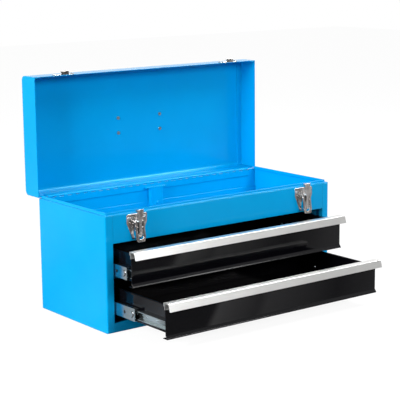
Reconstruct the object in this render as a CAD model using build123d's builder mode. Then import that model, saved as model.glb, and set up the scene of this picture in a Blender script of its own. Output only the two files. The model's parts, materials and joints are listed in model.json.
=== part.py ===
"""Portable steel tool box: a hinged lid over an open till, and two drawers on ball slides.

Frame: X to the right, Y to the back, Z up, in millimetres. The origin is the middle of the
case's underside. The part stands with its lid open and both drawers partly pulled out.
"""
from math import cos, radians, sin
import os

from build123d import *

os.makedirs("parts", exist_ok=True)

# ---------------------------------------------------------------- driving dimensions
sheet = 1.0                 # steel sheet of the case, the lid and the drawers
case_width = 508.0
case_depth = 218.0
case_height = 204.5         # floor to the ledge that the lid closes on
corner_radius = 2.5         # bend of the case's upright corners
stile_width = 15.0
stile_return = 10.0
sill_height = 16.2
frame_return = 12.0         # flange of the sill and of the header, inside the case
header_height = 49.0
header_seam = 0.2           # joint between the header and a stile
ledge_width = 6.0
ledge_rise = 4.6            # raised lip inside the ledge

lid_height = 45.1
lid_bend_radius = 9.0
lid_flange = 11.0           # flange of each end cap, inside the lid
lid_gap = 0.6               # closed lid's rim above the ledge

knuckle_radius = 1.9
knuckle_bore = 0.85
hinge_pin_radius = 0.8
hinge_inset = 19.0          # hinge's end from the case's side
hinge_knuckles = 56
knuckle_gap = 0.3
leaf_thickness = 0.9
leaf_height = 14.0
bead_thickness = 0.5
bead_height = 3.0           # bead on the back that closes the slits under the knuckles
bead_gap = 0.2
leaf_clearance = 2.2        # walls and leaves stop this far from the hinge line

drawer_pitch = 67.3         # lower drawer to upper drawer
lower_lip_height = 21.5     # floor to the lower drawer's lip
front_gap = 2.3             # drawer front to stile, at each end
lip_reach = 4.5
lip_height = 6.0
lip_return = 8.0            # flange along the lip's edge, back under the tray
front_height = 60.5
tray_drop = 6.5             # tray's underside above the lip's edge
tray_height = 47.5
tray_depth = 207.0
hem_width = 2.0
hem_height = 2.5
pull_wall = 1.5
pull_reach = 15.9           # pull's lower edge in front of the drawer's face
pull_slope = 4.0            # pull's upper edge lies this far behind its lower edge
pull_face = 13.0
pull_overhang = 2.0         # pull past the drawer front, at each end
pull_leg = 10.5
hook_depth = 4.5
upper_drawer_out = 55.5
lower_drawer_out = 150.7
upper_runner_out = 47.5
lower_runner_out = 68.5

slide_length = 198.0
slide_thickness = 12.7
slide_wall = 1.2
slide_setback = 11.0        # case and middle members' ends behind the case's front
drawer_rail_setback = 10.5
slide_centre = 21.0         # slide's middle above the drawer's lip
case_rail_height = 29.4
case_rail_depth = 8.0
middle_rail_height = 22.0
middle_rail_depth = 8.0
middle_rail_inset = 2.2     # middle member's web from the case member's back
drawer_rail_height = 15.0
drawer_rail_depth = 7.0
cage_length = 96.0
cage_wall = 1.0
cage_balls = 6
ball_clearance = 0.1
cage_hole_clearance = 0.15
slide_hole_radius = 3.1
rail_holes = (30.0, 168.0)          # from a rail's front end
drawer_rail_rivets = (90.0, 146.0)
drawer_rail_dimples = (30.0, 62.0)
dimple_radius = 2.0
dimple_depth = 0.5

post_width = 30.0
post_front = 18.0           # front posts' front edge behind the case's front
post_rear = 190.0           # rear posts' rear edge behind the case's front

channel_width = 27.0
channel_depth = 10.0
channel_drop = 9.0          # channel's top below the ledge
channel_head_width = 45.0
channel_head_height = 3.0
channel_hole_drop = 38.0

latch_inset = 64.0          # latch's centre from the case's side
latch_wing_width = 42.0
latch_wing_height = 15.0
latch_foot_width = 18.0
latch_plate_height = 44.0
latch_plate_drop = 2.5      # plate's top below the ledge
latch_plate_wall = 1.2
lever_pivot_drop = 16.5     # lever's pivot below the ledge
lever_pivot_reach = 5.0     # lever's pivot in front of the case
lever_arm = 24.0            # lever's pivot to the claw's pivot
lever_width = 20.0
lever_wall = 1.2
lever_top = 2.6
lever_face = 3.2            # lever's face plate in front of its pivot
lever_tip = 35.0
lever_flange = 2.4          # side flanges reach this far behind the pivot
lever_slot_width = 11.0
lever_slot_end = 30.5
lever_lift = 8.5            # degrees that the lever hangs away from flat
ear_radius = 2.8
ear_wall = 1.2
ear_gap = 1.0
pivot_pin_radius = 1.5
claw_pin_radius = 1.2
pin_clearance = 0.08
claw_pivot_inset = 1.0      # claw's pivot behind the lever's pivot
claw_eye_radius = 2.2
claw_stem_width = 5.0
claw_head_width = 13.0
claw_wall = 1.2

strike_width = 43.0
strike_height = 12.0
strike_wall = 1.2
strike_reach = 7.0
strike_lip = 3.7
strike_hook_width = 16.0
hook_clearance = 0.5        # claw's bar over the strike's hook
hook_overlap = 0.3

handle_span = 97.0          # bracket centre to bracket centre
handle_rivet_spacing = 28.8
bracket_width = 16.0
bracket_length = 42.0
bracket_wall = 1.5
handle_pivot_height = 8.0
handle_rod_radius = 3.0
handle_bore_clearance = 0.1
handle_reach = 38.0
handle_bend = 9.0
lug_radius = 5.5
lug_wall = 5.0
grip_radius = 7.0
grip_length = 66.0

rivet_radius = 1.6
rivet_head_radius = 3.0
rivet_head_height = 1.3
rivet_tail_radius = 3.2
rivet_tail_height = 1.0
rivet_hole_clearance = 0.1

# ---------------------------------------------------------------- places that follow
half_width = case_width / 2
hinge_length = case_width - 2 * hinge_inset
half_depth = case_depth / 2
front_y = -half_depth
inner_half_width = half_width - sheet
opening_half = half_width - stile_width
opening_top = case_height - header_height
wall_top = case_height - sheet
hinge_y = half_depth
hinge_z = case_height + lid_gap / 2
front_half = opening_half - front_gap
tray_half = opening_half - slide_thickness
face_y = front_y + lip_reach
till_floor_z = opening_top + sheet
latch_x = (latch_inset - half_width, half_width - latch_inset)
lever_pivot_y = front_y - lever_pivot_reach
lever_pivot_z = case_height - lever_pivot_drop
lid_rim = lid_gap / 2
lid_top = lid_rim + lid_height
lid_front = -case_depth
handle_y = lid_front / 2
SIDES = {"left": -1, "right": 1}


def save(piece, name):
    """Label a finished piece and write it under its own name."""
    piece.part.label = name
    export_step(piece.part, f"parts/{name}.step")


def lid_side(x):
    """Plane across the lid: its own axes are the closed lid's Y and Z, from the hinge line."""
    return Plane(origin=(x, hinge_y, hinge_z), x_dir=(0, 0, -1), z_dir=(1, 0, 0))


def lid_level(height):
    """Plane over the closed lid, at a height above the hinge line, as it stands when open."""
    return Plane(origin=(0, hinge_y + height, hinge_z), x_dir=(1, 0, 0), z_dir=(0, 1, 0))


def block(x_range, y_range, z_range):
    """Box between two corners, added to the part that is open."""
    (x0, x1), (y0, y1), (z0, z1) = x_range, y_range, z_range
    with BuildSketch(Plane.XY.offset(z0)) as base:
        with Locations(((x0 + x1) / 2, (y0 + y1) / 2)):
            Rectangle(x1 - x0, y1 - y0)
    extrude(base.sketch, amount=z1 - z0)


# ---------------------------------------------------------------- case
def make_case_wrap():
    """Back, sides and front stiles, bent from one sheet; low at the back, over a bead, for the hinge."""
    with BuildPart() as case_wrap:
        with BuildSketch(Plane.XY):
            Rectangle(case_width, case_depth)
            fillet(vertices(), corner_radius)
            with BuildSketch(mode=Mode.PRIVATE) as hollow:
                Rectangle(case_width - 2 * sheet, case_depth - 2 * sheet)
                fillet(hollow.vertices(), corner_radius - sheet)
            add(hollow.sketch, mode=Mode.SUBTRACT)
            with Locations((0, front_y)):
                Rectangle(2 * opening_half, 2 * sheet, mode=Mode.SUBTRACT)
            for side in SIDES.values():
                with Locations((side * (opening_half + sheet / 2), front_y + stile_return / 2)):
                    Rectangle(sheet, stile_return)
        extrude(amount=wall_top)
        notch_bottom = hinge_z - leaf_clearance
        notch_half = (hinge_length + leaf_clearance) / 2
        with BuildSketch(Plane.XY.offset(notch_bottom)):
            with Locations((0, half_depth)):
                Rectangle(2 * notch_half, 4 * sheet)
        extrude(amount=case_height - notch_bottom, mode=Mode.SUBTRACT)
        for side in SIDES.values():
            ends = sorted((side * notch_half, side * (half_width - corner_radius)))
            block(ends, (half_depth - sheet, half_depth), (wall_top, case_height))
        bead_top = hinge_z - knuckle_radius - bead_gap
        block(
            (-hinge_length / 2, hinge_length / 2),
            (half_depth, half_depth + bead_thickness),
            (bead_top - bead_height, bead_top),
        )
    save(case_wrap, "case_wrap")


def latch_rivet_places():
    """Centres of the latch plates' rivets, as X and Z."""
    height = case_height - latch_plate_drop - latch_wing_height / 2
    offset = latch_wing_width / 2 - rivet_head_radius - sheet
    return [(x + side * offset, height) for x in latch_x for side in SIDES.values()]


def cut_latch_rivet_holes():
    """Rivet holes through the case's front."""
    with BuildSketch(Plane.XZ.offset(half_depth + sheet)) as holes:
        with Locations(*latch_rivet_places()):
            Circle(rivet_radius + rivet_hole_clearance)
    extrude(holes.sketch, amount=-3 * sheet, mode=Mode.SUBTRACT)


def make_bottom_plate():
    """Flat bottom, with a flange up the back wall."""
    back = half_depth - sheet
    flange_half = inner_half_width - corner_radius
    with BuildPart() as bottom_plate:
        with BuildSketch(Plane.XY):
            Rectangle(2 * inner_half_width, case_depth - 2 * sheet)
            fillet(vertices(), corner_radius - sheet)
            for side in SIDES.values():
                with Locations((side * opening_half, front_y + stile_return / 2)):
                    Rectangle(2 * sheet, stile_return, mode=Mode.SUBTRACT)
        extrude(amount=sheet)
        block((-flange_half, flange_half), (back - sheet, back), (sheet, frame_return))
    save(bottom_plate, "bottom_plate")


def make_front_sill():
    """Channel under the lower drawer, between the stiles."""
    with BuildPart() as front_sill:
        with BuildSketch(Plane.YZ):
            with BuildLine():
                Polyline(
                    (front_y, 0),
                    (front_y, sill_height),
                    (front_y + frame_return, sill_height),
                    (front_y + frame_return, sill_height - sheet),
                    (front_y + sheet, sill_height - sheet),
                    (front_y + sheet, 0),
                    close=True,
                )
            make_face()
        extrude(amount=opening_half, both=True)
    save(front_sill, "front_sill")


def make_front_header():
    """Sheet over the upper drawer, between the stiles, which carries the latches."""
    with BuildPart() as front_header:
        with BuildSketch(Plane.YZ):
            with BuildLine():
                Polyline(
                    (front_y, wall_top),
                    (front_y, opening_top),
                    (front_y + frame_return, opening_top),
                    (front_y + frame_return, till_floor_z),
                    (front_y + sheet, till_floor_z),
                    (front_y + sheet, wall_top),
                    close=True,
                )
            make_face()
        extrude(amount=opening_half - header_seam, both=True)
        cut_latch_rivet_holes()
    save(front_header, "front_header")


def make_rim_frame():
    """Ledge along the front and both sides, with the lip that stands inside the closed lid."""
    leg_end = half_depth - sheet - leaf_thickness - knuckle_gap
    frame_depth = leg_end - front_y
    middle_y = (leg_end + front_y) / 2
    open_width = case_width - 2 * ledge_width
    lip_width = open_width + 2 * sheet
    with BuildPart() as rim_frame:
        with BuildSketch(Plane.XY.offset(wall_top)):
            with Locations((0, middle_y)):
                Rectangle(case_width, frame_depth)
            fillet(vertices().group_by(Axis.Y)[0], corner_radius)
            with Locations((0, middle_y + ledge_width)):
                Rectangle(open_width, frame_depth, mode=Mode.SUBTRACT)
        extrude(amount=sheet)
        with BuildSketch(Plane.XY.offset(case_height)):
            with Locations((0, middle_y + (ledge_width - sheet) / 2)):
                Rectangle(lip_width, frame_depth - ledge_width + sheet)
            with Locations((0, middle_y + ledge_width)):
                Rectangle(open_width, frame_depth, mode=Mode.SUBTRACT)
        extrude(amount=ledge_rise)
    save(rim_frame, "rim_frame")


def make_till_floor():
    """Floor of the top till, on the header's flange and the slide posts."""
    flange_top = till_floor_z + frame_return
    with BuildPart() as till_floor:
        with BuildSketch(Plane.XY.offset(till_floor_z)):
            Rectangle(2 * inner_half_width, case_depth - 2 * sheet)
            fillet(vertices(), corner_radius - sheet)
            for side in SIDES.values():
                with Locations((side * (opening_half + sheet / 2), front_y + stile_return / 2)):
                    Rectangle(sheet, stile_return, mode=Mode.SUBTRACT)
        extrude(amount=sheet)
        back = half_depth - sheet
        edge = inner_half_width
        block((-edge + corner_radius, edge - corner_radius), (back - sheet, back),
              (till_floor_z + sheet, flange_top))
    save(till_floor, "till_floor")


def make_slide_posts():
    """Four upright channels that carry the slides, two on each side wall."""
    middle_x = (opening_half + inner_half_width) / 2
    post_depth = inner_half_width - opening_half
    middles_y = (front_y + post_front + post_width / 2, front_y + post_rear - post_width / 2)
    with BuildPart() as slide_posts:
        with BuildSketch(Plane.XY.offset(sheet)):
            for side in SIDES.values():
                for middle_y in middles_y:
                    with Locations((side * middle_x, middle_y)):
                        Rectangle(post_depth, post_width)
                    with Locations((side * (middle_x + sheet), middle_y)):
                        Rectangle(post_depth, post_width - 2 * sheet, mode=Mode.SUBTRACT)
        extrude(amount=till_floor_z - sheet)
    save(slide_posts, "slide_posts")


def make_back_channel():
    """Folded channel up the middle of the till's back, over the hinge leaf, with a wider head."""
    back = half_depth - sheet - leaf_thickness
    front = back - channel_depth
    bottom = till_floor_z + sheet
    top = case_height - channel_drop
    side_x = channel_width / 2
    head_half = channel_head_width / 2
    screw_height = case_height - channel_hole_drop
    with BuildPart() as back_channel:
        with BuildSketch(Plane.XY.offset(bottom)):
            with Locations((0, back - channel_depth / 2)):
                Rectangle(channel_width, channel_depth)
            with Locations((0, back)):
                Rectangle(
                    channel_width - 2 * sheet, 2 * (channel_depth - sheet), mode=Mode.SUBTRACT
                )
        extrude(amount=top - bottom)
        block((-head_half, head_half), (front, back), (top, top + channel_head_height))
        with BuildSketch(Plane.XZ.offset(-front)):
            with Locations((0, screw_height)):
                Circle(rivet_radius + rivet_hole_clearance)
        extrude(amount=-2 * sheet, mode=Mode.SUBTRACT)
    save(back_channel, "back_channel")

    with BuildPart() as channel_screw:
        add_rivet(Plane.XZ.offset(-front), [(0, screw_height)], sheet)
    save(channel_screw, "back_channel_screw")


def add_rivet(plane, places, grip):
    """Rivets through what lies behind a plane: a domed head, a shank and a flat tail."""
    with BuildSketch(plane) as heads:
        with Locations(*places):
            Circle(rivet_head_radius)
    extrude(heads.sketch, amount=rivet_head_height)
    rims = edges().filter_by(GeomType.CIRCLE).filter_by(
        lambda rim: abs(plane.to_local_coords(rim.arc_center).Z - rivet_head_height) < 1e-3
    )
    fillet(rims, rivet_head_height * 0.7)
    with BuildSketch(plane) as shanks:
        with Locations(*places):
            Circle(rivet_radius)
    extrude(shanks.sketch, amount=-grip)
    with BuildSketch(plane.offset(-grip)) as tails:
        with Locations(*places):
            Circle(rivet_tail_radius)
    extrude(tails.sketch, amount=-rivet_tail_height)


def knuckle_spans(first):
    """X ranges of every second knuckle of the hinge."""
    pitch = hinge_length / hinge_knuckles
    starts = [-hinge_length / 2 + i * pitch for i in range(first, hinge_knuckles, 2)]
    return [(start + knuckle_gap / 2, start + pitch - knuckle_gap / 2) for start in starts]


def make_hinge_leaf(name, plane_at, direction, first):
    """Leaf of the long hinge: a strip, and every second knuckle joined to it."""
    inner = -knuckle_radius
    outer = inner + leaf_thickness
    edge = direction * leaf_clearance
    far = direction * leaf_height
    with BuildPart() as leaf:
        with BuildSketch(plane_at(-hinge_length / 2)):
            with Locations(((inner + outer) / 2, (edge + far) / 2)):
                Rectangle(leaf_thickness, abs(far - edge))
        extrude(amount=hinge_length)
        for start, end in knuckle_spans(first):
            with BuildSketch(plane_at(start)):
                with Locations(((inner + outer) / 2, edge / 2)):
                    Rectangle(leaf_thickness, abs(edge))
                Circle(knuckle_radius)
                Circle(knuckle_bore, mode=Mode.SUBTRACT)
            extrude(amount=end - start)
    save(leaf, name)


def case_side(x):
    """Plane across the case at the hinge line: its own axes are Y and Z."""
    return Plane(origin=(x, hinge_y, hinge_z), x_dir=(0, 1, 0), z_dir=(1, 0, 0))


def make_hinge():
    """Both leaves of the long hinge, and its pin."""
    make_hinge_leaf("case_hinge_leaf", case_side, -1, 0)
    make_hinge_leaf("lid_hinge_leaf", lid_side, 1, 1)
    with BuildPart() as hinge_pin:
        with BuildSketch(case_side(-hinge_length / 2)):
            Circle(hinge_pin_radius)
        extrude(amount=hinge_length)
    save(hinge_pin, "hinge_pin")


# ---------------------------------------------------------------- lid
def make_lid():
    """Lid: one bent sheet for front, top and back, and an end cap at each side."""
    with BuildPart() as lid_wrap:
        with BuildSketch(lid_side(-inner_half_width)):
            lid_outline(0)
            with BuildSketch(mode=Mode.PRIVATE) as hollow:
                lid_outline(sheet)
            add(hollow.sketch, mode=Mode.SUBTRACT)
        extrude(amount=2 * inner_half_width)
        notch_length = hinge_length + leaf_clearance
        with BuildSketch(lid_side(-notch_length / 2)):
            with Locations((0, 0)):
                Rectangle(3 * sheet, 2 * leaf_clearance)
        extrude(amount=notch_length, mode=Mode.SUBTRACT)
        with BuildSketch(lid_level(lid_top - 2 * sheet)):
            with Locations(*handle_rivet_places()):
                Circle(rivet_radius + rivet_hole_clearance)
        extrude(amount=3 * sheet, mode=Mode.SUBTRACT)
        with BuildSketch(lid_front_plane(-2 * sheet)):
            with Locations(*strike_rivet_places()):
                Circle(rivet_radius + rivet_hole_clearance)
        extrude(amount=3 * sheet, mode=Mode.SUBTRACT)
    save(lid_wrap, "lid_wrap")

    for name, side in SIDES.items():
        start = inner_half_width if side > 0 else -half_width
        flange_start = inner_half_width - lid_flange if side > 0 else -inner_half_width
        with BuildPart() as cap:
            with BuildSketch(lid_side(start)):
                lid_outline(0)
            extrude(amount=sheet)
            with BuildSketch(lid_side(flange_start)):
                lid_outline(sheet)
                with BuildSketch(mode=Mode.PRIVATE) as hollow:
                    lid_outline(2 * sheet)
                add(hollow.sketch, mode=Mode.SUBTRACT)
            extrude(amount=lid_flange)
        save(cap, f"lid_{name}_cap")


def lid_outline(inset):
    """Closed lid seen from its end, open at the rim, drawn inside its skin by an inset."""
    front = lid_front + inset
    back = -inset
    top = lid_top - inset
    radius = lid_bend_radius - inset
    with BuildLine() as outline:
        FilletPolyline((front, lid_rim), (front, top), (back, top), (back, lid_rim), radius=radius)
        Line((back, lid_rim), (front, lid_rim))
    make_face(outline.edges())


def lid_front_plane(outward):
    """Plane along the closed lid's front wall: its own axes are X and the closed lid's Z."""
    return Plane(
        origin=(0, hinge_y, hinge_z + case_depth + outward), x_dir=(1, 0, 0), z_dir=(0, 0, 1)
    )


def handle_rivet_places():
    """Handle bracket rivets, as X and the closed lid's Y from the hinge line."""
    return [
        (side * handle_span / 2, handle_y + end * handle_rivet_spacing / 2)
        for side in SIDES.values()
        for end in (-1, 1)
    ]


def strike_rivet_places():
    """Strike rivets, as X and the closed lid's height from the hinge line."""
    offset = strike_width / 2 - rivet_head_radius - sheet
    height = lid_rim + strike_wall + strike_height / 2
    return [(x + side * offset, height) for x in latch_x for side in SIDES.values()]


def make_strikes():
    """Plates on the lid's front, each with a hook that its latch's claw pulls down on."""
    root = lid_rim + strike_wall
    lip_top = root + strike_lip - strike_wall
    for name, middle in zip(SIDES, latch_x):
        with BuildPart() as strike:
            with BuildSketch(lid_front_plane(0)):
                with Locations((middle, lid_rim + strike_height / 2 + strike_wall / 2)):
                    Rectangle(strike_width, strike_height + strike_wall)
                fillet(vertices(), 3 * strike_wall)
                with Locations(*strike_rivet_places()):
                    Circle(rivet_radius + rivet_hole_clearance, mode=Mode.SUBTRACT)
            extrude(amount=strike_wall)
            with BuildSketch(lid_side(middle - strike_hook_width / 2)):
                with BuildLine():
                    Polyline(
                        (lid_front - strike_wall, lid_rim),
                        (lid_front - strike_reach, lid_rim),
                        (lid_front - strike_reach, lip_top),
                        (lid_front - strike_reach + strike_wall, lip_top),
                        (lid_front - strike_reach + strike_wall, root),
                        (lid_front - strike_wall, root),
                        close=True,
                    )
                make_face()
            extrude(amount=strike_hook_width)
        save(strike, f"{name}_strike")

    with BuildPart() as lid_rivets:
        add_rivet(lid_front_plane(strike_wall), strike_rivet_places(), strike_wall + sheet)
    save(lid_rivets, "strike_rivets")


# ---------------------------------------------------------------- handle
def make_handle():
    """Two brackets on the lid's top and the folding bail with its grip between them."""
    pivot = lid_top + handle_pivot_height
    with BuildPart() as brackets:
        for side in SIDES.values():
            middle = side * handle_span / 2
            with BuildSketch(lid_level(lid_top)):
                with Locations((middle, handle_y)):
                    RectangleRounded(bracket_width, bracket_length, bracket_width / 2 - sheet)
                with Locations(*handle_rivet_places()):
                    Circle(rivet_radius + rivet_hole_clearance, mode=Mode.SUBTRACT)
            extrude(amount=bracket_wall)
            with BuildSketch(lid_side(middle - lug_wall / 2)):
                with Locations((handle_y, pivot)):
                    Circle(lug_radius)
                with Locations((handle_y, (pivot + lid_top + bracket_wall) / 2)):
                    Rectangle(2 * lug_radius, pivot - lid_top - bracket_wall)
                with Locations((handle_y, pivot)):
                    Circle(handle_rod_radius + handle_bore_clearance, mode=Mode.SUBTRACT)
            extrude(amount=lug_wall)
    save(brackets, "handle_brackets")

    with BuildPart() as handle_rivets:
        add_rivet(lid_level(lid_top + bracket_wall), handle_rivet_places(), bracket_wall + sheet)
    save(handle_rivets, "handle_rivets")

    end_x = handle_span / 2 + lug_wall
    arm_x = handle_span / 2 - lug_wall / 2 - handle_rod_radius - sheet
    grip_y = handle_y + handle_reach
    with BuildPart() as bail:
        with BuildLine(lid_level(pivot)):
            route = FilletPolyline(
                (-end_x, handle_y),
                (-arm_x, handle_y),
                (-arm_x, grip_y),
                (arm_x, grip_y),
                (arm_x, handle_y),
                (end_x, handle_y),
                radius=handle_rod_radius + sheet,
            )
        with BuildSketch(Plane(origin=route @ 0, z_dir=route % 0)):
            Circle(handle_rod_radius)
        sweep(path=route)
    save(bail, "handle_bail")

    with BuildPart() as grip:
        with BuildSketch(lid_side(-grip_length / 2)):
            with Locations((grip_y, pivot)):
                Circle(grip_radius)
                Circle(handle_rod_radius, mode=Mode.SUBTRACT)
        extrude(amount=grip_length)
        outer_rims = edges().filter_by(GeomType.CIRCLE).filter_by(
            lambda rim: rim.radius > handle_rod_radius + sheet
        )
        fillet(outer_rims, 2 * sheet)
    save(grip, "handle_grip")


# ---------------------------------------------------------------- latches
def tilted_plane(x, facing):
    """Plane at a lever's pivot, in the lever as it hangs: seen from its side or its front."""
    lift = radians(lever_lift)
    origin = (x, lever_pivot_y, lever_pivot_z)
    if facing == "side":
        return Plane(origin=origin, x_dir=(0, cos(lift), -sin(lift)), z_dir=(1, 0, 0))
    return Plane(origin=origin, x_dir=(1, 0, 0), z_dir=(0, -cos(lift), sin(lift)))


def claw_pivot():
    """Claw's pivot as Y and Z, with the lever hanging at its lift."""
    lift = radians(lever_lift)
    y = lever_pivot_y + claw_pivot_inset * cos(lift) - lever_arm * sin(lift)
    z = lever_pivot_z - claw_pivot_inset * sin(lift) - lever_arm * cos(lift)
    return y, z


def make_latch_plate(name, middle):
    """Plate riveted to the header, with two ears for the lever's pivot."""
    top = case_height - latch_plate_drop
    bottom = top - latch_plate_height
    wing = latch_wing_width / 2
    foot = latch_foot_width / 2
    ear_x = lever_width / 2 - lever_wall - ear_gap - ear_wall
    with BuildPart() as plate:
        with BuildSketch(Plane.XZ.offset(half_depth)):
            with BuildLine() as outline:
                Polyline(
                    (middle - wing, top),
                    (middle + wing, top),
                    (middle + wing, top - latch_wing_height),
                    (middle + foot, bottom),
                    (middle - foot, bottom),
                    (middle - wing, top - latch_wing_height),
                    close=True,
                )
            make_face(outline.edges())
            fillet(vertices(), 2 * latch_plate_wall)
            with Locations(*latch_rivet_places()):
                Circle(rivet_radius + rivet_hole_clearance, mode=Mode.SUBTRACT)
        extrude(amount=latch_plate_wall)
        ear_starts = (middle - ear_x - ear_wall, middle + ear_x)
        plate_face = front_y - latch_plate_wall
        for start in ear_starts:
            with BuildSketch(Plane.YZ.offset(start)):
                with Locations((lever_pivot_y, lever_pivot_z)):
                    Circle(ear_radius)
                with Locations(((plate_face + lever_pivot_y) / 2, lever_pivot_z)):
                    Rectangle(plate_face - lever_pivot_y, 2 * ear_radius)
                with Locations((lever_pivot_y, lever_pivot_z)):
                    Circle(pivot_pin_radius, mode=Mode.SUBTRACT)
            extrude(amount=ear_wall)
    save(plate, name)


def make_lever(name, middle):
    """Lever: a tapered plate, slotted for the claw, with a flange along each side."""
    half = lever_width / 2
    flange_bottom = -lever_arm - claw_eye_radius - sheet
    with BuildPart() as lever:
        with BuildSketch(tilted_plane(middle, "front").offset(lever_face)):
            with BuildLine():
                Polyline(
                    (-half, lever_top),
                    (-half, flange_bottom),
                    (-half + 2 * lever_wall, -lever_tip),
                    (half - 2 * lever_wall, -lever_tip),
                    (half, flange_bottom),
                    (half, lever_top),
                    close=True,
                )
            make_face()
            fillet(vertices().group_by(Axis.Z)[0], 2 * lever_wall)
            with Locations((0, -lever_slot_end / 2 + lever_slot_width / 2)):
                SlotOverall(
                    lever_slot_end + lever_slot_width,
                    lever_slot_width,
                    rotation=90,
                    mode=Mode.SUBTRACT,
                )
        extrude(amount=lever_wall)
        for start in (-half, half - lever_wall):
            with BuildSketch(tilted_plane(middle + start, "side")):
                with Locations(((lever_flange - lever_face) / 2, (lever_top + flange_bottom) / 2)):
                    Rectangle(lever_flange + lever_face, lever_top - flange_bottom)
                with Locations((0, 0)):
                    Circle(pivot_pin_radius + pin_clearance, mode=Mode.SUBTRACT)
                with Locations((claw_pivot_inset, -lever_arm)):
                    Circle(claw_pin_radius, mode=Mode.SUBTRACT)
            extrude(amount=lever_wall)
    save(lever, name)


def make_claw(name, middle):
    """Claw: an eye on its pin, a stem up through the lever's slot and a hooked head."""
    eye_y, eye_z = claw_pivot()
    shift = lever_pivot_y + claw_pivot_inset - eye_y
    rise = eye_z - (lever_pivot_z - lever_arm)
    stem_back = lever_pivot_y - lever_face - shift
    stem_front = stem_back - claw_wall
    hook_root = hinge_z + lid_rim + strike_wall
    bar_bottom = hook_root + hook_clearance + rise
    head_bottom = hook_root + strike_lip - strike_wall + hook_overlap + rise
    head_top = head_bottom + claw_wall
    bar_back = front_y - strike_wall - (strike_reach - 3 * strike_wall) + claw_wall / 2 - shift
    with BuildPart() as claw:
        with BuildSketch(Plane.YZ.offset(middle - claw_stem_width / 2)):
            with Locations((eye_y, eye_z)):
                Circle(claw_eye_radius)
            with Locations(((eye_y + stem_front) / 2, eye_z)):
                Rectangle(eye_y - stem_front, 2 * claw_wall)
            with Locations(((stem_back + stem_front) / 2, (eye_z + head_top) / 2)):
                Rectangle(claw_wall, head_top - eye_z)
            with Locations((eye_y, eye_z)):
                Circle(claw_pin_radius + pin_clearance, mode=Mode.SUBTRACT)
        extrude(amount=claw_stem_width)
        shoulder = lever_pivot_z + ear_radius + claw_wall + rise
        with BuildSketch(Plane.YZ.offset(middle - claw_head_width / 2)):
            with BuildLine():
                Polyline(
                    (stem_front, shoulder),
                    (stem_front, head_top),
                    (bar_back, head_top),
                    (bar_back, bar_bottom),
                    (bar_back - claw_wall, bar_bottom),
                    (bar_back - claw_wall, head_bottom),
                    (stem_back, head_bottom),
                    (stem_back, shoulder),
                    close=True,
                )
            make_face()
        extrude(amount=claw_head_width)
    save(claw, name)


def make_claw_pin(name, middle):
    """Pin that joins a claw to its lever."""
    eye_y, eye_z = claw_pivot()
    with BuildPart() as pin:
        with BuildSketch(Plane.YZ.offset(middle - lever_width / 2)):
            with Locations((eye_y, eye_z)):
                Circle(claw_pin_radius)
        extrude(amount=lever_width)
    save(pin, name)


def make_latches():
    """Both latches, their pivot pins and their rivets."""
    for name, middle in zip(SIDES, latch_x):
        make_latch_plate(f"{name}_latch_plate", middle)
        make_lever(f"{name}_latch_lever", middle)
        make_claw(f"{name}_latch_claw", middle)
        make_claw_pin(f"{name}_claw_pin", middle)
    with BuildPart() as pins:
        for middle in latch_x:
            with BuildSketch(Plane.YZ.offset(middle - lever_width / 2)):
                with Locations((lever_pivot_y, lever_pivot_z)):
                    Circle(pivot_pin_radius)
            extrude(amount=lever_width)
    save(pins, "latch_pivot_pins")
    with BuildPart() as rivets:
        plate_front = Plane.XZ.offset(half_depth + latch_plate_wall)
        add_rivet(plate_front, latch_rivet_places(), latch_plate_wall + sheet)
    save(rivets, "latch_rivets")


# ---------------------------------------------------------------- slides
def rail_end(setback, out):
    """Y of a rail's front end, from its setback when closed and how far it is out."""
    return front_y + setback - out


def make_rail(name, web_x, tip_x, height, middle_z, front, holes, hole_radius, dimples=()):
    """Channel-shaped slide member, with screw holes or pressed dimples in its web."""
    inward = 1 if tip_x > web_x else -1
    depth = abs(tip_x - web_x)
    middle_x = (web_x + tip_x) / 2
    with BuildPart() as rail:
        with BuildSketch(Plane.XZ.offset(-front)):
            with Locations((middle_x, middle_z)):
                Rectangle(depth, height)
            fillet(vertices(), slide_wall / 3)
            with Locations((middle_x + inward * slide_wall, middle_z)):
                Rectangle(depth, height - 2 * slide_wall, mode=Mode.SUBTRACT)
        extrude(amount=-slide_length)
        if holes:
            with BuildSketch(Plane.YZ.offset(web_x)):
                with Locations(*[(front + place, middle_z) for place in holes]):
                    Circle(hole_radius)
            extrude(amount=inward * slide_wall, mode=Mode.SUBTRACT)
        if dimples:
            face = web_x + inward * slide_wall
            with BuildSketch(Plane.YZ.offset(face)):
                with Locations(*[(front + place, middle_z) for place in dimples]):
                    Circle(dimple_radius)
            extrude(amount=inward * dimple_depth)
    save(rail, name)


def make_cages(name, web_x, tip_x, race, gap, middle_z, middle_y, bridged):
    """Ball cages of one race, left and right, and their balls; bridged cages are channels."""
    ball_radius = gap / 2 - ball_clearance
    spacing = cage_length / cage_balls
    middle_x = (web_x + tip_x) / 2
    ball_ys = [middle_y + (i - (cage_balls - 1) / 2) * spacing for i in range(cage_balls)]
    with BuildPart() as cages:
        with BuildSketch(Plane.XZ.offset(-middle_y - cage_length / 2)):
            for side in SIDES.values():
                for end in (-1, 1):
                    with Locations((side * middle_x, middle_z + end * race)):
                        Rectangle(web_x - tip_x, cage_wall)
                if bridged:
                    with Locations((side * (web_x - cage_wall / 2), middle_z)):
                        Rectangle(cage_wall, 2 * race)
        extrude(amount=cage_length)
        with BuildSketch(Plane.XY.offset(middle_z - race - cage_wall)):
            with Locations(*[(side * middle_x, y) for side in SIDES.values() for y in ball_ys]):
                Circle(ball_radius + cage_hole_clearance)
        extrude(amount=2 * (race + cage_wall), mode=Mode.SUBTRACT)
    save(cages, f"{name}_cages")
    with BuildPart() as balls:
        for side in SIDES.values():
            for end in (-1, 1):
                with Locations(*[(side * middle_x, y, middle_z + end * race) for y in ball_ys]):
                    Sphere(ball_radius)
    save(balls, f"{name}_balls")


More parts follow.
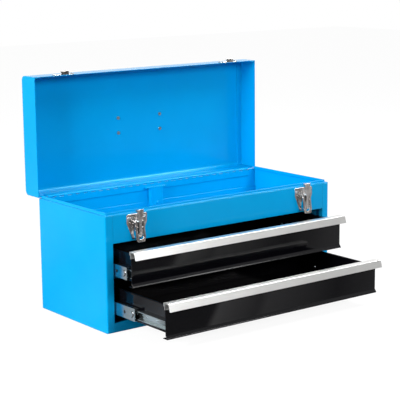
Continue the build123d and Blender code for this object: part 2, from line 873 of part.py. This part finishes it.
def make_slides(name, lip_z, runner_out, drawer_out):
    """Both slides of one drawer: case, middle and drawer members, cages and balls."""
    middle_z = lip_z + slide_centre
    middle_web = opening_half - middle_rail_inset
    middle_tip = middle_web - middle_rail_depth
    case_tip = opening_half - case_rail_depth
    drawer_tip = tray_half + drawer_rail_depth
    for side_name, side in SIDES.items():
        make_rail(
            f"{name}_{side_name}_case_rail", side * opening_half, side * case_tip,
            case_rail_height, middle_z, rail_end(slide_setback, 0),
            rail_holes, slide_hole_radius,
        )
        make_rail(
            f"{name}_{side_name}_middle_rail", side * middle_web, side * middle_tip,
            middle_rail_height, middle_z, rail_end(slide_setback, runner_out),
            rail_holes, slide_hole_radius,
        )
        make_rail(
            f"{name}_{side_name}_drawer_rail", side * tray_half, side * drawer_tip,
            drawer_rail_height, middle_z, rail_end(drawer_rail_setback, drawer_out),
            drawer_rail_rivets, rivet_radius + rivet_hole_clearance, drawer_rail_dimples,
        )
    outer_gap = (case_rail_height - middle_rail_height) / 2 - slide_wall
    outer_race = (case_rail_height - outer_gap) / 2 - slide_wall
    inner_gap = (middle_rail_height - drawer_rail_height) / 2 - slide_wall
    inner_race = (middle_rail_height - inner_gap) / 2 - slide_wall
    case_start = rail_end(slide_setback, 0)
    middle_start = rail_end(slide_setback, runner_out)
    drawer_start = rail_end(drawer_rail_setback, drawer_out)
    outer_y = (case_start + middle_start + slide_length) / 2
    inner_y = (middle_start + drawer_start + slide_length) / 2
    make_cages(
        f"{name}_outer", opening_half - slide_wall - ball_clearance,
        case_tip + ball_clearance, outer_race, outer_gap, middle_z, outer_y, False,
    )
    make_cages(
        f"{name}_inner", middle_web - slide_wall - ball_clearance,
        middle_tip + ball_clearance, inner_race, inner_gap, middle_z, inner_y, True,
    )


# ---------------------------------------------------------------- drawers
def tray_rivet_places(middle_z, out):
    """Rivets that hold the drawer members to a tray, as Y and Z."""
    start = rail_end(drawer_rail_setback, out)
    return [(start + place, middle_z) for place in drawer_rail_rivets]


def make_tray(name, lip_z, out):
    """Open tray with a thick hem along the tops of its sides and back."""
    bottom = lip_z + tray_drop
    top = bottom + tray_height
    front = face_y + sheet - out
    rear = front + tray_depth
    middle_y = (front + rear) / 2
    with BuildPart() as tray:
        block((-tray_half, tray_half), (front, rear), (bottom, top))
        hem_half = tray_half + hem_width
        block((-hem_half, hem_half), (front + drawer_rail_setback, rear + hem_width),
              (top - hem_height, top))
        with BuildSketch(Plane.XY.offset(bottom + sheet)):
            with Locations((0, middle_y)):
                Rectangle(2 * (tray_half - sheet), tray_depth - 2 * sheet)
        extrude(amount=tray_height, mode=Mode.SUBTRACT)
        with BuildSketch(Plane.YZ.offset(-tray_half - sheet)):
            with Locations(*tray_rivet_places(lip_z + slide_centre, out)):
                Circle(rivet_radius + rivet_hole_clearance)
        extrude(amount=2 * (tray_half + sheet), mode=Mode.SUBTRACT)
    save(tray, name)


def make_front(name, lip_z, out):
    """Drawer front: a sheet that flares out along its foot and turns back under the tray."""
    face = face_y - out
    with BuildPart() as front:
        with BuildSketch(Plane.YZ):
            with BuildLine():
                Polyline(
                    (face, lip_z + front_height),
                    (face, lip_z + lip_height),
                    (face - lip_reach, lip_z),
                    (face + lip_return, lip_z),
                    (face + lip_return, lip_z + sheet),
                    (face - lip_reach + 3 * sheet / 2, lip_z + sheet),
                    (face + sheet, lip_z + lip_height),
                    (face + sheet, lip_z + front_height),
                    close=True,
                )
            make_face()
        extrude(amount=front_half, both=True)
    save(front, name)


def make_pull(name, lip_z, out):
    """Full-width pull: clipped over the front's top edge, reaching out and down."""
    face = face_y - out
    under = lip_z + front_height
    top = under + pull_wall
    nose = face - pull_reach
    shoulder = nose + pull_slope
    back = face + sheet + pull_wall
    nose_bottom = top - pull_face
    with BuildPart() as pull:
        with BuildSketch(Plane.YZ):
            with BuildLine():
                Polyline(
                    (back, top),
                    (shoulder, top),
                    (nose, nose_bottom),
                    (nose + pull_wall, nose_bottom),
                    (shoulder + pull_wall, under),
                    (face - pull_wall, under),
                    (face - pull_wall, under - pull_leg),
                    (face, under - pull_leg),
                    (face, under),
                    (face + sheet, under),
                    (face + sheet, under - hook_depth),
                    (back, under - hook_depth),
                    close=True,
                )
            make_face()
        extrude(amount=front_half + pull_overhang, both=True)
        outer_edges = edges().filter_by(Axis.X).sort_by(Axis.Z)[-2:]
        fillet(outer_edges, pull_wall * 0.6)
    save(pull, name)


def make_tray_rivets(name, lip_z, out):
    """Rivets through the tray's sides into the drawer members."""
    places = tray_rivet_places(lip_z + slide_centre, out)
    with BuildPart() as rivets:
        for side in SIDES.values():
            inner_face = Plane(
                origin=(side * (tray_half - sheet), 0, 0), x_dir=(0, 1, 0), z_dir=(-side, 0, 0)
            )
            flipped = [(y, -side * z) for y, z in places]
            add_rivet(inner_face, flipped, sheet + slide_wall)
    save(rivets, name)


def make_drawer(name, lip_z, runner_out, out):
    """One drawer with its slides."""
    make_slides(name, lip_z, runner_out, out)
    make_tray(f"{name}_drawer_tray", lip_z, out)
    make_front(f"{name}_drawer_front", lip_z, out)
    make_pull(f"{name}_drawer_pull", lip_z, out)
    make_tray_rivets(f"{name}_drawer_rivets", lip_z, out)


make_case_wrap()
make_bottom_plate()
make_front_sill()
make_front_header()
make_rim_frame()
make_till_floor()
make_slide_posts()
make_back_channel()
make_hinge()
make_lid()
make_strikes()
make_handle()
make_latches()
make_drawer("upper", lower_lip_height + drawer_pitch, upper_runner_out, upper_drawer_out)
make_drawer("lower", lower_lip_height, lower_runner_out, lower_drawer_out)
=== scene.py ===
"""Looks of the portable tool box with drawers: enamel, zinc, chrome and aluminium on its CAD frame."""

import json
from math import cos, radians, sin

import bpy
from mathutils import Matrix, Vector


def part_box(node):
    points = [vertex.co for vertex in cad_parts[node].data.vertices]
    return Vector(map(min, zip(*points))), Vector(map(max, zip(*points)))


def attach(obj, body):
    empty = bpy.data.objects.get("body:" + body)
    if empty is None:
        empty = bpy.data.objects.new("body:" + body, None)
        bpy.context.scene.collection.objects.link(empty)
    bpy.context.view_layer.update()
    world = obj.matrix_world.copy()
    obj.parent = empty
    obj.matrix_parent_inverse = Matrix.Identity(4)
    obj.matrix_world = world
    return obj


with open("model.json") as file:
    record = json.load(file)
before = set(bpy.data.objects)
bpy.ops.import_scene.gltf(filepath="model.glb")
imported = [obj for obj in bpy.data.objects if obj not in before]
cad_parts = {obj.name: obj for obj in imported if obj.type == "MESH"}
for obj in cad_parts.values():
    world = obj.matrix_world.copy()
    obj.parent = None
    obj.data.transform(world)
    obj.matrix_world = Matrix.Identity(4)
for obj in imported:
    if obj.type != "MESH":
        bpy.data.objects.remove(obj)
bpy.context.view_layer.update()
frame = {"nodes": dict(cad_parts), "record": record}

NODES = frame["nodes"]

# Part of a noise field's range that its values mostly fill.
FIELD_LOW, FIELD_HIGH = 0.3, 0.7

# ---------------------------------------------------------------- materials


def new_material(name):
    """An empty node material with its shader and its surface coordinates."""
    material = bpy.data.materials.new(name)
    material.use_nodes = True
    tree = material.node_tree
    shader = tree.nodes["Principled BSDF"]
    coords = tree.nodes.new("ShaderNodeTexCoord")
    return material, tree, shader, coords


def noise(tree, coords, scale, detail=3.0, roughness=0.5, stretch=(1, 1, 1)):
    """A noise field in object space, in metres, optionally drawn out along an axis."""
    mapping = tree.nodes.new("ShaderNodeMapping")
    mapping.inputs["Scale"].default_value = stretch
    tree.links.new(coords.outputs["Object"], mapping.inputs["Vector"])
    node = tree.nodes.new("ShaderNodeTexNoise")
    node.inputs["Scale"].default_value = scale
    node.inputs["Detail"].default_value = detail
    node.inputs["Roughness"].default_value = roughness
    tree.links.new(mapping.outputs["Vector"], node.inputs["Vector"])
    return node.outputs["Fac"]


def remap(tree, value, low, high, start=FIELD_LOW, end=FIELD_HIGH):
    """A field mapped onto a range of values."""
    node = tree.nodes.new("ShaderNodeMapRange")
    node.inputs["From Min"].default_value = start
    node.inputs["From Max"].default_value = end
    node.inputs["To Min"].default_value = low
    node.inputs["To Max"].default_value = high
    tree.links.new(value, node.inputs["Value"])
    return node.outputs["Result"]


def blend_colors(tree, value, first, second):
    """A colour that goes from the first to the second with the field."""
    ramp = tree.nodes.new("ShaderNodeValToRGB")
    ramp.color_ramp.elements[0].position = FIELD_LOW
    ramp.color_ramp.elements[0].color = (*first, 1)
    ramp.color_ramp.elements[1].position = FIELD_HIGH
    ramp.color_ramp.elements[1].color = (*second, 1)
    tree.links.new(value, ramp.inputs["Fac"])
    return ramp.outputs["Color"]


def bump(tree, shader, layers, edge_radius):
    """Stacks bumps of (field, depth in metres) onto edges that are rounded by edge_radius."""
    bevel = tree.nodes.new("ShaderNodeBevel")
    bevel.samples = 6
    bevel.inputs["Radius"].default_value = edge_radius
    normal = bevel.outputs["Normal"]
    for field, depth in layers:
        node = tree.nodes.new("ShaderNodeBump")
        node.inputs["Distance"].default_value = depth
        tree.links.new(field, node.inputs["Height"])
        tree.links.new(normal, node.inputs["Normal"])
        normal = node.outputs["Normal"]
    tree.links.new(normal, shader.inputs["Normal"])


def enamel(name, first, second, roughness, gloss, edge_radius, sheen):
    """Stoved gloss paint: faint mottle, orange peel, and a soft wave of the sheet below it."""
    material, tree, shader, coords = new_material(name)
    mottle = noise(tree, coords, 14, detail=5)
    tree.links.new(blend_colors(tree, mottle, first, second), shader.inputs["Base Color"])
    haze = noise(tree, coords, 45, detail=6, roughness=0.65)
    tree.links.new(remap(tree, haze, roughness * 0.8, roughness * 1.3), shader.inputs["Roughness"])
    shader.inputs["Specular IOR Level"].default_value = gloss
    shader.inputs["Specular Tint"].default_value = (*sheen, 1)
    peel = noise(tree, coords, 620, detail=2)
    wave = noise(tree, coords, 9, detail=1)
    bump(tree, shader, [(wave, 0.0012), (peel, 0.00002)], edge_radius=edge_radius)
    return material


def metal(name, first, second, roughness, stretch, grain, depth, unevenness=0.2, edge=0.0003):
    """Bare or plated metal with grain drawn out along one axis."""
    material, tree, shader, coords = new_material(name)
    streak = noise(tree, coords, grain, detail=4, roughness=0.6, stretch=stretch)
    tree.links.new(blend_colors(tree, streak, first, second), shader.inputs["Base Color"])
    cloud = noise(tree, coords, 60, detail=4)
    limits = roughness * (1 - unevenness), roughness * (1 + unevenness)
    tree.links.new(remap(tree, cloud, *limits), shader.inputs["Roughness"])
    shader.inputs["Metallic"].default_value = 1.0
    bump(tree, shader, [(streak, depth)], edge_radius=edge)
    return material


def plastic(name, first, second, roughness):
    """Moulded plastic with a fine grain."""
    material, tree, shader, coords = new_material(name)
    grain = noise(tree, coords, 1500, detail=3)
    cloud = noise(tree, coords, 80, detail=3)
    tree.links.new(blend_colors(tree, cloud, first, second), shader.inputs["Base Color"])
    tree.links.new(remap(tree, cloud, roughness * 0.85, roughness * 1.2), shader.inputs["Roughness"])
    bump(tree, shader, [(grain, 0.00004)], edge_radius=0.0004)
    return material


MATERIALS = {
    "blue_enamel": enamel(
        "blue_enamel", (0.0, 0.305, 0.655), (0.0, 0.325, 0.69), 0.16, 0.42, 0.0018,
        (0.22, 0.85, 1.0)
    ),
    "black_enamel": enamel(
        "black_enamel", (0.002, 0.002, 0.003), (0.003, 0.003, 0.0042), 0.05, 0.36, 0.0014,
        (1.0, 1.0, 1.0)
    ),
    "satin_aluminium": metal(
        "satin_aluminium", (0.84, 0.84, 0.825), (0.9, 0.9, 0.885), 0.34, (0.02, 1, 1), 900, 0.000008, 0.05
    ),
    # Zinc's own grey, tinted cyan as a painted reflection of the blue paint around the rails.
    "zinc_steel": metal(
        "zinc_steel", (0.52, 0.60, 0.62), (0.66, 0.74, 0.76), 0.2, (1, 0.05, 1), 500, 0.000012
    ),
    "bearing_steel": metal(
        "bearing_steel", (0.66, 0.66, 0.68), (0.74, 0.74, 0.75), 0.12, (1, 1, 1), 300, 0.000004
    ),
    "rivet_steel": metal(
        "rivet_steel", (0.36, 0.42, 0.46), (0.50, 0.55, 0.58), 0.28, (1, 1, 1), 700, 0.00001
    ),
    "chrome_plate": metal(
        "chrome_plate", (0.62, 0.59, 0.57), (0.86, 0.85, 0.84), 0.03, (1, 1, 1), 90, 0.0012, edge=0.0012
    ),
    "black_plastic": plastic("black_plastic", (0.012, 0.012, 0.013), (0.02, 0.02, 0.021), 0.5),
    "black_grip": plastic("black_grip", (0.013, 0.013, 0.014), (0.022, 0.022, 0.023), 0.45),
}

for entry in frame["record"]["subparts"]:
    mesh = NODES[entry["node"]].data
    mesh.materials.clear()
    mesh.materials.append(MATERIALS[entry["material_slot"]])

# ---------------------------------------------------------------- pressed stops on the slides: painted shade in the slot, painted highlight on its rim

WEB_X = 0.2368                  # outer face of a middle rail's web
STOP_SETBACK = 0.010            # centre of the stop's arc behind the rail's front end
STOP_RADIUS = 0.0052
ARC_STEPS = 16
# Dark arc in black plastic: painted shade in the stop's pressed slot.
SLOT_SHADE_WIDTH, SLOT_SHADE_HALF_ANGLE = 0.0018, radians(75)
# Raised arc in brighter steel: its brightness is a painted highlight on the slot's front edge.
RIM_HIGHLIGHT_WIDTH, RIM_HIGHLIGHT_HALF_ANGLE = 0.0008, radians(60)
RIM_HIGHLIGHT_LEAD = 0.0017               # painted highlight of the rim, in front of the slot


def arc_tube(name, center, half_angle, thickness, body, slot):
    """An arc tube on a web that lies across X, convex towards the drawer's front, drawn as painted shade
    and painted highlight of a pressed stop.
    """
    curve = bpy.data.curves.new(name, "CURVE")
    curve.dimensions = "3D"
    curve.bevel_depth = thickness / 2
    curve.bevel_resolution = 3
    curve.use_fill_caps = True
    spline = curve.splines.new("POLY")
    spline.points.add(ARC_STEPS)
    for i, point in enumerate(spline.points):
        angle = half_angle * (2 * i / ARC_STEPS - 1)
        y = center[1] - STOP_RADIUS * cos(angle)
        point.co = (center[0], y, center[2] + STOP_RADIUS * sin(angle), 1)
    shape = bpy.data.objects.new(name, curve)
    mesh = bpy.data.meshes.new_from_object(shape)
    bpy.data.objects.remove(shape)
    piece = bpy.data.objects.new(name, mesh)
    bpy.context.scene.collection.objects.link(piece)
    piece.data.materials.clear()
    piece.data.materials.append(MATERIALS[slot])
    piece.data.shade_smooth()
    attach(piece, body)


for level in ("upper", "lower"):
    for side_name, side in (("left", -1), ("right", 1)):
        low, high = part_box(f"{level}_{side_name}_middle_rail")
        middle_z = (low[2] + high[2]) / 2
        place = (side * WEB_X, low[1] + STOP_SETBACK, middle_z)
        prefix = f"{level}_{side_name}_stop"
        body = f"{level}_runners"
        # Painted shade: a black arc in the pressed slot.
        arc_tube(f"{prefix}_slot", place, SLOT_SHADE_HALF_ANGLE, SLOT_SHADE_WIDTH, body, "black_plastic")
        rim = (place[0], place[1] - RIM_HIGHLIGHT_LEAD, place[2])
        # Painted highlight: a brighter steel arc on the slot's rim.
        arc_tube(f"{prefix}_rim_highlight", rim, RIM_HIGHLIGHT_HALF_ANGLE, RIM_HIGHLIGHT_WIDTH, body, "bearing_steel")

# ---------------------------------------------------------------- floor, lights and camera

FLOOR_HALF = 6.0
FLOOR_DROP = 0.0003             # floor below the box's feet
FLOOR_GLOW = 1.04               # the floor's strength to the camera
SHADOW_SHARE = 0.12             # share of the floor's picture that takes shade
SHADED_WHITE = 0.95
BAND_HALF = 0.5
# Painted reflection: brightness of the floor to all rays but the camera's, in light and dark bands for the
# gloss paint to mirror, across x + y from -BAND_HALF to BAND_HALF.
FLOOR_REFLECTION_BANDS = (
    (0.0, 0.02), (0.07, 0.03), (0.085, 0.5), (0.18, 0.16), (0.2, 0.3), (0.38, 0.05), (0.6, 0.3), (1.0, 0.25)
)


def spread_out(elements, stops):
    """Sets a colour ramp's stops to the given places and grey levels."""
    elements[0].position, elements[1].position = stops[0][0], stops[-1][0]
    for position, level in stops[1:-1]:
        elements.new(position)
    for element, (position, level) in zip(elements, stops):
        element.color = (level, level, level, 1)


def make_floor():
    """A wide floor: white with a faint shadow to the camera; to all other rays light and dark bands, a
    painted reflection for the gloss paint to mirror.
    """
    mesh = bpy.data.meshes.new("floor")
    corners = [(-FLOOR_HALF, -FLOOR_HALF, 0), (FLOOR_HALF, -FLOOR_HALF, 0)]
    corners += [(FLOOR_HALF, FLOOR_HALF, 0), (-FLOOR_HALF, FLOOR_HALF, 0)]
    mesh.from_pydata(corners, [], [(0, 1, 2, 3)])
    floor = bpy.data.objects.new("floor", mesh)
    bpy.context.scene.collection.objects.link(floor)
    floor.location.z = -FLOOR_DROP
    material, tree, shader, coords = new_material("floor_white")
    across = tree.nodes.new("ShaderNodeVectorMath")
    across.operation = "DOT_PRODUCT"
    across.inputs[1].default_value = (1, 1, 0)
    tree.links.new(coords.outputs["Object"], across.inputs[0])
    # Light and dark bands of painted reflection, seen only in the object's gloss.
    reflection_bands = tree.nodes.new("ShaderNodeValToRGB")
    spread_out(reflection_bands.color_ramp.elements, FLOOR_REFLECTION_BANDS)
    tree.links.new(remap(tree, across.outputs["Value"], 0, 1, -BAND_HALF, BAND_HALF), reflection_bands.inputs["Fac"])
    tree.links.new(reflection_bands.outputs["Color"], shader.inputs["Base Color"])
    grain = noise(tree, coords, 30, detail=4)
    tree.links.new(remap(tree, grain, 0.55, 0.65), shader.inputs["Roughness"])
    glow = tree.nodes.new("ShaderNodeEmission")
    glow.inputs["Strength"].default_value = FLOOR_GLOW
    pale = tree.nodes.new("ShaderNodeBsdfDiffuse")
    pale.inputs["Color"].default_value = (SHADED_WHITE, SHADED_WHITE, SHADED_WHITE, 1)
    shown = tree.nodes.new("ShaderNodeMixShader")
    shown.inputs[0].default_value = SHADOW_SHARE
    tree.links.new(glow.outputs[0], shown.inputs[1])
    tree.links.new(pale.outputs[0], shown.inputs[2])
    path = tree.nodes.new("ShaderNodeLightPath")
    mix = tree.nodes.new("ShaderNodeMixShader")
    tree.links.new(path.outputs["Is Camera Ray"], mix.inputs[0])
    tree.links.new(shader.outputs[0], mix.inputs[1])
    tree.links.new(shown.outputs[0], mix.inputs[2])
    tree.links.new(mix.outputs[0], tree.nodes["Material Output"].inputs["Surface"])
    mesh.materials.append(material)


STUDIO_AXIS = (0.6, 0.75, 0.3)  # towards the studio's bright side
STUDIO_LEVELS = ((0.0, 0.04), (0.36, 0.08), (0.4, 0.32), (0.6, 0.5), (0.8, 1.0), (1.0, 1.0))
STUDIO_STRENGTH = 0.9


def make_world():
    """White to the camera; to the object a studio that is bright behind it and dim in front of it."""
    world = bpy.data.worlds.new("studio")
    world.use_nodes = True
    bpy.context.scene.world = world
    tree = world.node_tree
    tree.nodes.clear()
    coords = tree.nodes.new("ShaderNodeTexCoord")
    toward_light = tree.nodes.new("ShaderNodeVectorMath")
    toward_light.operation = "DOT_PRODUCT"
    toward_light.inputs[1].default_value = Vector(STUDIO_AXIS).normalized()
    tree.links.new(coords.outputs["Generated"], toward_light.inputs[0])
    spread = tree.nodes.new("ShaderNodeMapRange")
    spread.inputs["From Min"].default_value = -1
    tree.links.new(toward_light.outputs["Value"], spread.inputs["Value"])
    ramp = tree.nodes.new("ShaderNodeValToRGB")
    spread_out(ramp.color_ramp.elements, STUDIO_LEVELS)
    tree.links.new(spread.outputs["Result"], ramp.inputs["Fac"])
    soft = tree.nodes.new("ShaderNodeBackground")
    soft.inputs["Strength"].default_value = STUDIO_STRENGTH
    tree.links.new(ramp.outputs["Color"], soft.inputs["Color"])
    white = tree.nodes.new("ShaderNodeBackground")
    white.inputs["Color"].default_value = (1, 1, 1, 1)
    white.inputs["Strength"].default_value = 1.0
    path = tree.nodes.new("ShaderNodeLightPath")
    mix = tree.nodes.new("ShaderNodeMixShader")
    tree.links.new(path.outputs["Is Camera Ray"], mix.inputs[0])
    tree.links.new(soft.outputs[0], mix.inputs[1])
    tree.links.new(white.outputs[0], mix.inputs[2])
    output = tree.nodes.new("ShaderNodeOutputWorld")
    tree.links.new(mix.outputs[0], output.inputs["Surface"])


# Name, place, target, size in metres and power in watts.
SOFTBOXES = (
    ("left_box", (-2.2, -0.3, 0.9), (0, 0, 0.2), (1.0, 1.2), 76),
    ("top_box", (1.3, -0.5, 1.95), (0, 0, 0.15), (1.3, 0.8), 40),
    ("front_box", (0.3, -2.6, 1.3), (0, 0, 0.15), (1.2, 0.8), 44),
)


def softbox(name, place, target, size, power):
    """A rectangular area light that faces its target."""
    light = bpy.data.lights.new(name, "AREA")
    light.shape = "RECTANGLE"
    light.size, light.size_y = size
    light.energy = power
    lamp = bpy.data.objects.new(name, light)
    lamp.location = place
    lamp.rotation_euler = (Vector(target) - Vector(place)).to_track_quat("-Z", "Y").to_euler()
    bpy.context.scene.collection.objects.link(lamp)


CAMERA_PLACE = (-1.42762565, -1.92182254, 0.64673452)
CAMERA_ANGLES = (-0.64867, 0.1905, -0.01085)    # yaw, pitch and roll in radians
CAMERA_LENS = 118.016
SENSOR_WIDTH = 36.0


def make_camera():
    """The photograph's camera, from the fit of its corners."""
    yaw, pitch, roll = CAMERA_ANGLES
    forward = Vector((-sin(yaw) * cos(pitch), cos(yaw) * cos(pitch), -sin(pitch)))
    level = Vector((cos(yaw), sin(yaw), 0))
    upright = level.cross(forward)
    right = level * cos(roll) + upright * sin(roll)
    up = -level * sin(roll) + upright * cos(roll)
    camera = bpy.data.cameras.new("camera")
    camera.sensor_fit = "HORIZONTAL"
    camera.sensor_width = SENSOR_WIDTH
    camera.lens = CAMERA_LENS
    camera.clip_end = 50
    holder = bpy.data.objects.new("camera", camera)
    axes = Matrix((right, up, -forward)).transposed().to_4x4()
    holder.matrix_world = Matrix.Translation(CAMERA_PLACE) @ axes
    bpy.context.scene.collection.objects.link(holder)
    bpy.context.scene.camera = holder


make_floor()
make_world()
for light_setup in SOFTBOXES:
    softbox(*light_setup)
make_camera()
bpy.context.scene.view_settings.view_transform = "Standard"
